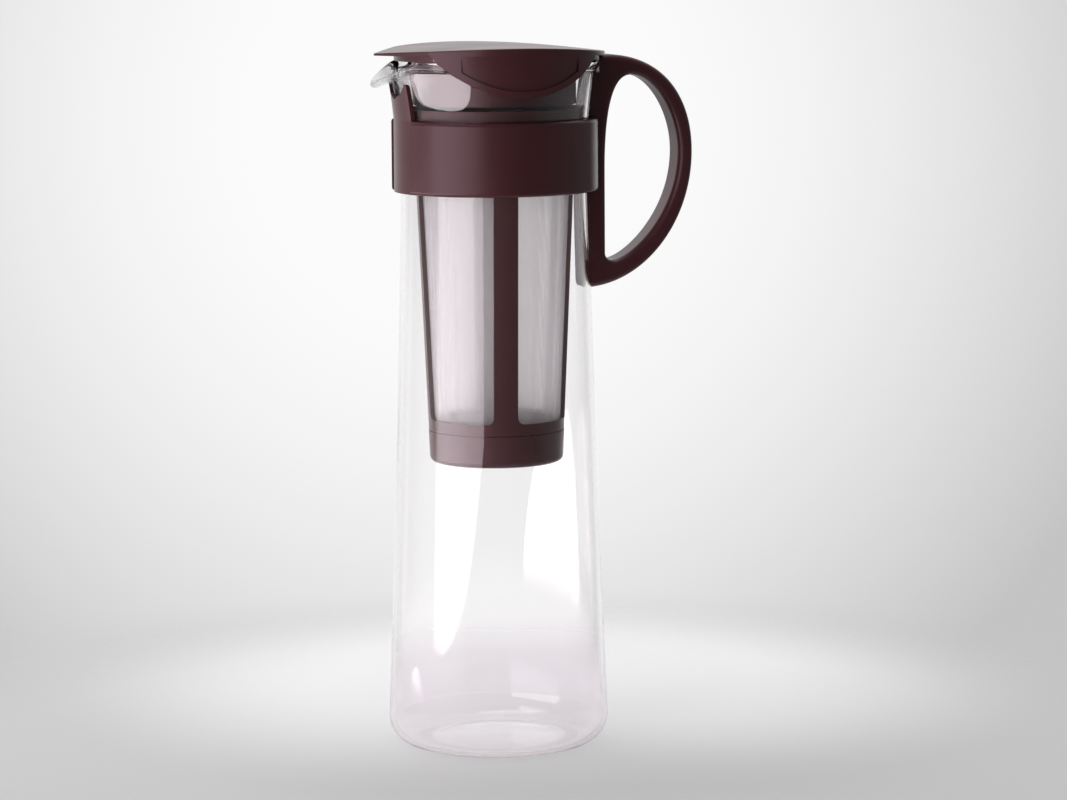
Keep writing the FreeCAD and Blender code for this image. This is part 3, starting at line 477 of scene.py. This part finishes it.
# ---- plastic ---------------------------------------------------------------------------------------
def moulded_surface():
    """Moulded polypropylene: flow shades, a satin grain and faint rubbing marks."""
    tree, end = new_group("moulded_surface", [
        ("Shade", "NodeSocketFloat"), ("Roughness", "NodeSocketFloat"), ("Normal", "NodeSocketVector"),
    ])
    place = object_place(tree)
    flow = noise(tree, place, 28.0, 3.0, 0.55)
    grain = noise(tree, place, 3600.0, 2.0, 0.6)
    shade = math_node(
        tree, "ADD", ramp(tree, flow, 0.3, 0.7, 0.0, 0.75), math_node(tree, "MULTIPLY", grain, 0.25))
    rubs = ramp(tree, noise(tree, drawn_out(tree, place, 0.12), 420.0, 4.0, 0.7), 0.55, 0.85, 0.0, 0.07)
    rough = math_node(tree, "ADD", ramp(tree, flow, 0.2, 0.8, *PLASTIC_ROUGHNESS), rubs)
    put_out(tree, end, Shade=shade, Roughness=rough, Normal=bump(tree, 0.2, 0.00001, grain))
    return tree


def brown_plastic():
    """Dark brown satin plastic of the band, the handle, the lid and the strainer's mouldings."""
    material, tree, output = new_material("brown_plastic")
    surface = node(tree, "ShaderNodeGroup", {"node_tree": moulded_surface()})
    plastic = node(
        tree, "ShaderNodeBsdfPrincipled", None, IOR=PLASTIC_IOR,
        Specular_IOR_Level=PLASTIC_SHINE, Specular_Tint=PLASTIC_SHINE_TINT,
        Base_Color=mixed(tree, surface.outputs["Shade"], PLASTIC_DEEP, PLASTIC_LIGHT),
        Roughness=surface.outputs["Roughness"], Normal=surface.outputs["Normal"])
    tree.links.new(plastic.outputs[0], output.inputs["Surface"])
    return material


# ---- filter mesh -----------------------------------------------------------------------------------
def woven_mesh():
    """Plain weave on an upright round wall: threads, the holes between them, and slow creases."""
    tree, end = new_group("woven_mesh", [
        ("Thread", "NodeSocketFloat"), ("Shade", "NodeSocketFloat"), ("Normal", "NodeSocketVector"),
    ])
    place = object_place(tree)
    parts = node(tree, "ShaderNodeSeparateXYZ", None, Vector=place)
    angle = math_node(tree, "ARCTAN2", parts.outputs["Y"], parts.outputs["X"])
    threads_round = 2 * math.pi * MESH_R / WEAVE_PITCH
    across = math_node(tree, "SINE", math_node(tree, "MULTIPLY", angle, threads_round))
    up = math_node(
        tree, "SINE", math_node(tree, "MULTIPLY", parts.outputs["Z"], 2 * math.pi / WEAVE_PITCH))
    thread = math_node(tree, "MAXIMUM", across, up)
    crossing = math_node(tree, "MULTIPLY", math_node(tree, "MULTIPLY", across, up), 0.3)
    weave = bump(tree, 0.6, 0.00006, math_node(tree, "ADD", thread, crossing))
    creases = noise(tree, drawn_out(tree, place, 0.12), 120.0)
    put_out(
        tree, end, Thread=ramp(tree, thread, 0.2, 0.7), Shade=creases,
        Normal=bump(tree, 0.5, 0.0006, creases, Normal=weave))
    return tree


def white_mesh():
    """Polyester filter mesh: most of the light on it goes on through, some straight between threads."""
    material, tree, output = new_material("white_mesh")
    weave = node(tree, "ShaderNodeGroup", {"node_tree": woven_mesh()})
    thread = node(
        tree, "ShaderNodeBsdfPrincipled", None, IOR=THREAD_IOR, Roughness=THREAD_ROUGHNESS,
        Transmission_Weight=THREAD_CLEARNESS,
        Base_Color=mixed(tree, weave.outputs["Shade"], THREAD_SHADED, THREAD_BRIGHT),
        Normal=weave.outputs["Normal"]).outputs[0]
    hole = node(tree, "ShaderNodeBsdfTransparent").outputs[0]
    tree.links.new(
        mixed_shader(tree, weave.outputs["Thread"], hole, thread), output.inputs["Surface"])
    return material


def dress(obj, material):
    """Give a piece its one material."""
    obj.data.materials.clear()
    obj.data.materials.append(material)


# ---- camera ----------------------------------------------------------------------------------------
def camera_place():
    return Vector((
        CAMERA_DISTANCE * math.sin(CAMERA_AZIMUTH),
        -CAMERA_DISTANCE * math.cos(CAMERA_AZIMUTH),
        CAMERA_HEIGHT,
    ))


def camera_directions():
    """Unit vectors forward, right and up of the camera."""
    turn = CAMERA_AZIMUTH - CAMERA_TURN_RIGHT
    level = Vector((-math.sin(turn), math.cos(turn), 0.0))
    forward = level * math.cos(CAMERA_PITCH_DOWN) - Vector((0, 0, math.sin(CAMERA_PITCH_DOWN)))
    right = forward.cross(Vector((0, 0, 1))).normalized()
    up = right.cross(forward)
    rolled = right * math.cos(CAMERA_ROLL) + up * math.sin(CAMERA_ROLL)
    return forward, rolled, rolled.cross(forward)


def make_camera():
    data = bpy.data.cameras.new("camera")
    data.sensor_width = SENSOR_WIDTH
    data.lens = LENS
    camera = bpy.data.objects.new("camera", data)
    bpy.context.scene.collection.objects.link(camera)
    forward, right, up = camera_directions()
    turn = Matrix((right, up, -forward)).transposed()
    camera.matrix_world = Matrix.Translation(camera_place()) @ turn.to_4x4()
    bpy.context.scene.camera = camera


# ---- lamps -----------------------------------------------------------------------------------------
def make_panel_light(name, shape, size, radiance, place, turn):
    """Flat soft light of this radiance, which shows in reflections but not to the camera itself."""
    data = bpy.data.lights.new(name, "AREA")
    data.shape = shape
    data.size, data.size_y = size
    data.color = LAMP_COLOUR
    area = size[0] * size[1] * (math.pi / 4 if shape == "ELLIPSE" else 1.0)
    data.energy = radiance * math.pi * area
    lamp = bpy.data.objects.new(name, data)
    bpy.context.scene.collection.objects.link(lamp)
    lamp.matrix_world = Matrix.Translation(place) @ turn
    lamp.visible_camera = False


def make_lamps():
    """A large panel on the spout's side with a low oval one below it, and one lamp above."""
    upright = Matrix.Rotation(math.radians(90.0), 4, "X")
    facing_handle = Matrix.Rotation(math.radians(-90.0), 4, "Z") @ upright
    leaning = Matrix.Rotation(LOW_LAMP_LEAN, 4, "X") @ facing_handle
    make_panel_light(
        "softbox", "RECTANGLE", SOFTBOX_SIZE, SOFTBOX_RADIANCE, SOFTBOX_PLACE, facing_handle)
    make_panel_light(
        "low_lamp", "ELLIPSE", LOW_LAMP_SIZE, LOW_LAMP_RADIANCE, LOW_LAMP_PLACE, leaning)
    make_panel_light(
        "top_lamp", "RECTANGLE", TOP_LAMP_SIZE, TOP_LAMP_RADIANCE, TOP_LAMP_PLACE, Matrix())


# ---- backdrop and room -----------------------------------------------------------------------------
def level_ahead():
    """The way the camera looks, made level."""
    forward = camera_directions()[0]
    return Vector((forward.x, forward.y, 0.0)).normalized()


def glowing_backdrop(tree, way, rays):
    """Backdrop as seen straight: a soft glow, and evenly white through the glass."""
    forward, right, up = camera_directions()
    brightest = (forward + right * GLOW_RIGHT + up * GLOW_UP).normalized()
    away = measured(tree, "DISTANCE", way, brightest)
    glow = ramp(tree, away, *GLOW_RANGE, GLOW_LEVEL, GLOW_END_LEVEL)
    glow = math_node(tree, "MAXIMUM", glow, GLOW_LEAST_LEVEL)
    return math_node(tree, "MAXIMUM", glow, rays.outputs["Is Transmission Ray"])


def pale_wall(tree, way, rays):
    """Pale stretch of wall beyond the softbox, which only reflections show."""
    beside = measured(tree, "DOT_PRODUCT", way, camera_directions()[1])
    height = measured(tree, "DOT_PRODUCT", way, (0.0, 0.0, 1.0))
    wall = ramp(tree, beside, *PALE_WALL_SIDE, PALE_WALL_LEVEL, 0.0)
    for part in (
        ramp(tree, height, *PALE_WALL_FOOT), ramp(tree, height, *PALE_WALL_TOP, 1.0, 0.0),
        rays.outputs["Is Glossy Ray"],
    ):
        wall = math_node(tree, "MULTIPLY", wall, part)
    return wall


def dim_room(tree, way, rays):
    """The room: dim, dimmer behind the camera and on the handle's side, lit at the far end."""
    level = level_ahead()
    raised = level * math.cos(BACKDROP_LIFT) + Vector((0, 0, math.sin(BACKDROP_LIFT)))
    ahead = measured(tree, "DOT_PRODUCT", way, level)
    beside = measured(tree, "DOT_PRODUCT", way, camera_directions()[1])
    sweep = measured(tree, "DOT_PRODUCT", way, raised)
    walls = math_node(
        tree, "MULTIPLY", ramp(tree, ahead, *ROOM_FRONT_RANGE, ROOM_FRONT_LEVEL, ROOM_LEVEL),
        ramp(tree, beside, *ROOM_RIGHT_RANGE, 1.0, ROOM_RIGHT_SHARE))
    far_end = ramp(tree, sweep, *BACKDROP_RANGE, 0.0, BACKDROP_LEVEL - ROOM_LEVEL)
    return math_node(
        tree, "ADD", math_node(tree, "ADD", walls, far_end), pale_wall(tree, way, rays))


def looks_straight(tree, way, rays):
    """1 for rays of the camera and those through glass, unless a mirror image turned them aside."""
    straight = math_node(
        tree, "MAXIMUM", rays.outputs["Is Camera Ray"], rays.outputs["Is Transmission Ray"])
    mirrored = math_node(tree, "GREATER_THAN", rays.outputs["Glossy Depth"], 0.5)
    ahead = ramp(tree, measured(tree, "DOT_PRODUCT", way, level_ahead()), *FAR_END_RANGE)
    unturned = math_node(tree, "MAXIMUM", math_node(tree, "SUBTRACT", 1.0, mirrored), ahead)
    return math_node(tree, "MULTIPLY", straight, unturned)


def make_world():
    """A pale backdrop for what looks straight at it, and a dim room for reflections and soft light."""
    world = bpy.data.worlds.new("studio")
    bpy.context.scene.world = world
    world.use_nodes = True
    tree = world.node_tree
    tree.nodes.clear()
    way = node(tree, "ShaderNodeTexCoord").outputs["Generated"]
    rays = node(tree, "ShaderNodeLightPath")
    strength = mixed_value(
        tree, looks_straight(tree, way, rays), dim_room(tree, way, rays),
        glowing_backdrop(tree, way, rays))
    light = node(
        tree, "ShaderNodeBackground", None, Color=(1.0, 1.0, 1.0, 1.0), Strength=strength)
    output = tree.nodes.new("ShaderNodeOutputWorld")
    tree.links.new(light.outputs[0], output.inputs["Surface"])


# ---- table -----------------------------------------------------------------------------------------
def table_colour(tree, place, through):
    """Pale, lighter in a round painted pool of light and with painted light towards the back, with a
    little dust.
    """
    from_pool = measured(tree, "DISTANCE", place, POOL_MIDDLE)
    # painted pool of light
    colour = mixed(tree, ramp(tree, from_pool, *POOL_RANGE), PAINTED_POOL_COLOUR, TABLE_COLOUR)
    # painted light, stronger towards the back
    painted_lightness = math_node(tree, "ADD", 1.0, measured(tree, "DOT_PRODUCT", place, TABLE_PAINTED_LIGHT_SLOPE))
    colour = node(
        tree, "ShaderNodeVectorMath", {"operation": "SCALE"}, i0=colour, Scale=painted_lightness).outputs[0]
    colour = mixed(tree, through, colour, TABLE_THROUGH_GLASS)
    dust = math_node(tree, "MULTIPLY", noise(tree, place, 160.0, 4.0), DUST_SHARE)
    return mixed(tree, dust, colour, DUST_COLOUR)


def table_top():
    """Matt table top that fades out into the backdrop, away from the pot."""
    material, tree, output = new_material("table_top")
    place = object_place(tree)
    through = node(tree, "ShaderNodeLightPath").outputs["Is Transmission Ray"]
    top = node(
        tree, "ShaderNodeBsdfPrincipled", None, Roughness=0.9, Specular_IOR_Level=0.0,
        Base_Color=table_colour(tree, place, through)).outputs[0]
    gone = node(tree, "ShaderNodeBsdfTransparent").outputs[0]
    from_middle = measured(tree, "LENGTH", place)
    fade = mixed_value(
        tree, through, ramp(tree, from_middle, *TABLE_FADE),
        ramp(tree, from_middle, *TABLE_FADE_THROUGH_GLASS))
    tree.links.new(mixed_shader(tree, fade, top, gone), output.inputs["Surface"])
    return material


def make_table():
    mesh = bpy.data.meshes.new("table_top")
    angles = [2 * math.pi * i / TABLE_TURNS for i in range(TABLE_TURNS)]
    rim = [(TABLE_R * math.cos(a), TABLE_R * math.sin(a), 0.0) for a in angles]
    mesh.from_pydata(rim, [], [range(TABLE_TURNS)])
    table = bpy.data.objects.new("table_top", mesh)
    bpy.context.scene.collection.objects.link(table)
    table.data.materials.append(table_top())


def main():
    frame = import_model()

    bottle = make_bottle()
    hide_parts("glass_bottle")
    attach(bottle, "pot")
    dress(bottle, clear_glass())

    plastic = brown_plastic()
    for name in ("neck_band", "handle", "lid", "strainer_frame", "strainer_cap"):
        dress(frame["nodes"][name], plastic)
    mesh = white_mesh()
    for name in sorted(frame["nodes"]):
        if name.startswith("mesh_panel"):
            dress(frame["nodes"][name], mesh)

    make_table()
    make_lamps()
    make_world()
    make_camera()
    bpy.context.scene.view_settings.view_transform = "Standard"


main()
